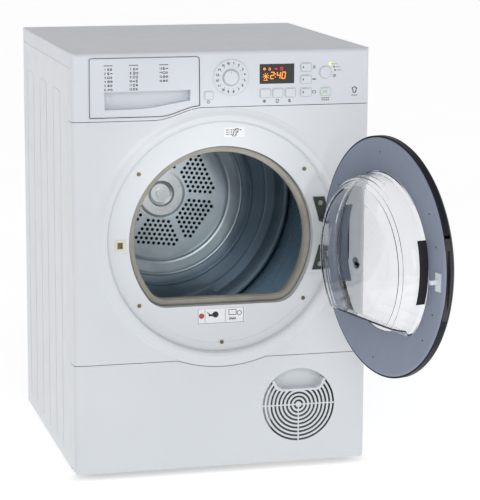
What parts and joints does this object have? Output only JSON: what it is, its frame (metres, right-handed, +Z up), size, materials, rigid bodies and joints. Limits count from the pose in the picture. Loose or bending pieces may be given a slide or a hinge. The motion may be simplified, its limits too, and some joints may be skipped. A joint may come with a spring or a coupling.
{
  "type": "clothes dryer",
  "caption": "Free-standing front-loading condenser clothes dryer with an open round clear-bowl door, drum, water container drawer, dial, push buttons and tilting plinth.",
  "frame": {"origin": "on the floor under the middle of the cabinet, midway between the side panels and between the front skin and the rear flange", "axes": "+X to the right seen from the front, +Y to the back, +Z up"},
  "size_m": [0.6175, 1.0905, 0.85],
  "materials": {
    "white_paint": "satin cool white enamel",
    "white_plastic": "satin cool white moulding",
    "zinc_sheet": "galvanised sheet",
    "drum_steel": "zinc coated, rolled, blue grey",
    "bright_steel": "bright plated",
    "lifter_plastic": "light grey moulding",
    "dark_plastic": "dark grey moulding",
    "charcoal_plastic": "charcoal moulding",
    "blue_grey_plastic": "blue grey moulding",
    "clear_bowl": "clear moulding",
    "display_glass": "black display window",
    "circuit_board": "green circuit board",
    "tank_plastic": "translucent tank",
    "grey_plastic": "grey moulding",
    "gasket_rubber": "beige grey seal",
    "felt": "wool felt",
    "cream_plastic": "cream moulding",
    "hinge_metal": "dark coated steel",
    "black_screw": "black coated",
    "motor_metal": "motor housing",
    "heater_metal": "heat stained tube",
    "condenser_aluminium": "thin plates",
    "belt_rubber": "ribbed belt"
  },
  "bodies": {
    "cabinet": {"base_tray": "dark_plastic", "left_side_panel": "white_paint", "right_side_panel": "white_paint", "rear_panel": "zinc_sheet", "rear_duct_cover": "zinc_sheet", "worktop": "white_plastic", "control_panel": "white_plastic", "front_panel": "white_paint", "front_bulkhead": "zinc_sheet", "dial_plate": "white_plastic", "display_window": "display_glass", "display_board": "circuit_board", "container_guide": "grey_plastic", "door_gasket": "gasket_rubber", "felt_seals": "felt", "strike_plate": "cream_plastic", "front_fasteners": "bright_steel", "hinge_brackets": "hinge_metal", "motor_body": "motor_metal", "air_ducts": "dark_plastic", "heater_coil": "heater_metal", "drum_belt": "belt_rubber", "condenser_frame": "grey_plastic", "condenser_core": "condenser_aluminium", "condensate_drain": "dark_plastic"},
    "door": {"door_inner_frame": "blue_grey_plastic", "door_outer_frame": "charcoal_plastic", "door_grip": "dark_plastic", "door_bowl": "clear_bowl", "door_outer_pane": "clear_bowl", "door_hook": "white_plastic", "door_screws": "black_screw", "hinge_leaf": "hinge_metal"},
    "drum": {"drum_shell": "drum_steel", "drum_rear_wall": "drum_steel", "drum_hub": "bright_steel", "drum_lifters": "lifter_plastic"},
    "rotor": {"motor_rotor": "bright_steel", "fan_wheels": "grey_plastic"},
    "idler": {"idler_pulley": "grey_plastic"},
    "roller_left": {"left_roller": "grey_plastic"},
    "roller_right": {"right_roller": "grey_plastic"},
    "filter": {"lint_filter": "grey_plastic"},
    "container": {"container_front": "white_plastic", "container_tank": "tank_plastic"},
    "plinth": {"plinth_panel": "white_paint"},
    "knob": {"programme_knob": "white_plastic"},
    "power_button_cap": {"power_button": "white_plastic"},
    "row_button_1_cap": {"row_button_1": "white_plastic"},
    "row_button_2_cap": {"row_button_2": "white_plastic"},
    "row_button_3_cap": {"row_button_3": "white_plastic"},
    "side_button_1_cap": {"side_button_1": "white_plastic"},
    "side_button_2_cap": {"side_button_2": "white_plastic"},
    "side_button_3_cap": {"side_button_3": "white_plastic"},
    "eco_button_cap": {"eco_button": "white_plastic"},
    "start_button_cap": {"start_button": "white_plastic"},
    "foot_front_left_screw": {"foot_front_left": "dark_plastic"},
    "foot_front_right_screw": {"foot_front_right": "dark_plastic"},
    "foot_rear_left_screw": {"foot_rear_left": "dark_plastic"},
    "foot_rear_right_screw": {"foot_rear_right": "dark_plastic"}
  },
  "joints": [
    {"name": "door_swing", "type": "hinge", "parent": "cabinet", "child": "door", "pos_m": [0.228, -0.338, 0.48], "axis": [0, 0, 1], "range_deg": [-102.5, 7.5]},
    {"name": "drum_spin", "type": "hinge", "parent": "cabinet", "child": "drum", "pos_m": [0, 0, 0.477], "axis": [0, 1, 0], "continuous": true},
    {"name": "rotor_spin", "type": "hinge", "parent": "cabinet", "child": "rotor", "pos_m": [-0.135, 0, 0.108], "axis": [0, 1, 0], "continuous": true},
    {"name": "idler_spin", "type": "hinge", "parent": "cabinet", "child": "idler", "pos_m": [-0.14399, -0.06, 0.14691], "axis": [0, 1, 0], "continuous": true},
    {"name": "roller_left_spin", "type": "hinge", "parent": "cabinet", "child": "roller_left", "pos_m": [-0.19486, -0.196, 0.22759], "axis": [0, 1, 0], "continuous": true},
    {"name": "roller_right_spin", "type": "hinge", "parent": "cabinet", "child": "roller_right", "pos_m": [0.19486, -0.196, 0.22759], "axis": [0, 1, 0], "continuous": true},
    {"name": "filter_lift", "type": "slide", "parent": "cabinet", "child": "filter", "axis": [0, 0, 1], "range_m": [0, 0.15]},
    {"name": "container_pull", "type": "slide", "parent": "cabinet", "child": "container", "axis": [0, -1, 0], "range_m": [0, 0.3]},
    {"name": "plinth_tilt", "type": "hinge", "parent": "cabinet", "child": "plinth", "pos_m": [0, -0.278, 0.032], "axis": [1, 0, 0], "range_deg": [0, 80]},
    {"name": "knob_turn", "type": "hinge", "parent": "cabinet", "child": "knob", "pos_m": [0.0153, -0.3, 0.797], "axis": [0, 1, 0], "continuous": true},
    {"name": "power_button_press", "type": "slide", "parent": "cabinet", "child": "power_button_cap", "axis": [0, 1, 0], "range_m": [0, 0.0012], "stiffness_N_per_m": 500, "springref_m": -0.002},
    {"name": "row_button_1_press", "type": "slide", "parent": "cabinet", "child": "row_button_1_cap", "axis": [0, 1, 0], "range_m": [0, 0.0012], "stiffness_N_per_m": 500, "springref_m": -0.002},
    {"name": "row_button_2_press", "type": "slide", "parent": "cabinet", "child": "row_button_2_cap", "axis": [0, 1, 0], "range_m": [0, 0.0012], "stiffness_N_per_m": 500, "springref_m": -0.002},
    {"name": "row_button_3_press", "type": "slide", "parent": "cabinet", "child": "row_button_3_cap", "axis": [0, 1, 0], "range_m": [0, 0.0012], "stiffness_N_per_m": 500, "springref_m": -0.002},
    {"name": "side_button_1_press", "type": "slide", "parent": "cabinet", "child": "side_button_1_cap", "axis": [0, 1, 0], "range_m": [0, 0.0012], "stiffness_N_per_m": 500, "springref_m": -0.002},
    {"name": "side_button_2_press", "type": "slide", "parent": "cabinet", "child": "side_button_2_cap", "axis": [0, 1, 0], "range_m": [0, 0.0012], "stiffness_N_per_m": 500, "springref_m": -0.002},
    {"name": "side_button_3_press", "type": "slide", "parent": "cabinet", "child": "side_button_3_cap", "axis": [0, 1, 0], "range_m": [0, 0.0012], "stiffness_N_per_m": 500, "springref_m": -0.002},
    {"name": "eco_button_press", "type": "slide", "parent": "cabinet", "child": "eco_button_cap", "axis": [0, 1, 0], "range_m": [0, 0.0012], "stiffness_N_per_m": 500, "springref_m": -0.002},
    {"name": "start_button_press", "type": "slide", "parent": "cabinet", "child": "start_button_cap", "axis": [0, 1, 0], "range_m": [0, 0.0012], "stiffness_N_per_m": 500, "springref_m": -0.002},
    {"name": "foot_front_left_adjust", "type": "slide", "parent": "cabinet", "child": "foot_front_left_screw", "axis": [0, 0, -1], "range_m": [0, 0.012]},
    {"name": "foot_front_right_adjust", "type": "slide", "parent": "cabinet", "child": "foot_front_right_screw", "axis": [0, 0, -1], "range_m": [0, 0.012]},
    {"name": "foot_rear_left_adjust", "type": "slide", "parent": "cabinet", "child": "foot_rear_left_screw", "axis": [0, 0, -1], "range_m": [0, 0.012]},
    {"name": "foot_rear_right_adjust", "type": "slide", "parent": "cabinet", "child": "foot_rear_right_screw", "axis": [0, 0, -1], "range_m": [0, 0.012]}
  ],
  "couplings": [
    {"joint": "rotor_spin", "follows": "drum_spin", "ratio": 25.442},
    {"joint": "idler_spin", "follows": "drum_spin", "ratio": 14.896},
    {"joint": "roller_left_spin", "follows": "drum_spin", "ratio": -9.54},
    {"joint": "roller_right_spin", "follows": "drum_spin", "ratio": -9.54}
  ]
}
